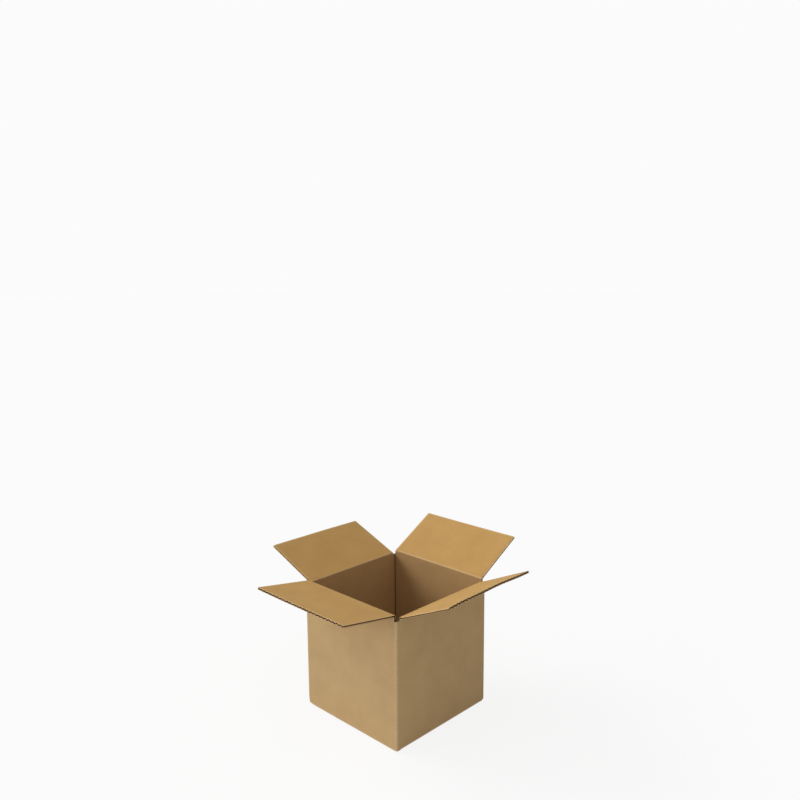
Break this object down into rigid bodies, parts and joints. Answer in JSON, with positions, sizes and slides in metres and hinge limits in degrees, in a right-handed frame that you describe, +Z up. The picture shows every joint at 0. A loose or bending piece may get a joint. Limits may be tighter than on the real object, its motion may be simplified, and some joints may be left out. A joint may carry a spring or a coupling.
{
  "type": "open cardboard box",
  "caption": "Cube-shaped corrugated shipping box, bottom taped shut, with its top flaps folded outwards and hinged at their creases to close over the opening.",
  "frame": {"origin": "centre of the base, on the surface that the box stands on, on the tape over the bottom seam", "axes": "+Z up, -Y out of the front wall, +X out of the right wall; the front and rear flaps are the outer pair"},
  "size_m": [0.4049, 0.398, 0.2691],
  "materials": {
    "board": "matt kraft liner on both faces, wavy flutes open at the cut edges",
    "tape": "smooth kraft paper tape"
  },
  "bodies": {
    "box": {"box_body": "board", "bottom_tape": "tape"},
    "front_flap": {"front_flap": "board"},
    "rear_flap": {"rear_flap": "board"},
    "left_flap": {"left_flap": "board"},
    "right_flap": {"right_flap": "board"}
  },
  "joints": [
    {"name": "front_crease", "type": "hinge", "parent": "box", "child": "front_flap", "pos_m": [0, -0.1055, 0.216], "axis": [1, 0, 0], "range_deg": [-170, 90]},
    {"name": "rear_crease", "type": "hinge", "parent": "box", "child": "rear_flap", "pos_m": [0, 0.1055, 0.216], "axis": [-1, 0, 0], "range_deg": [-150.5, 109.5]},
    {"name": "left_crease", "type": "hinge", "parent": "box", "child": "left_flap", "pos_m": [-0.1055, 0, 0.2118], "axis": [0, -1, 0], "range_deg": [-159, 101]},
    {"name": "right_crease", "type": "hinge", "parent": "box", "child": "right_flap", "pos_m": [0.1055, 0, 0.2118], "axis": [0, 1, 0], "range_deg": [-156, 104]}
  ]
}
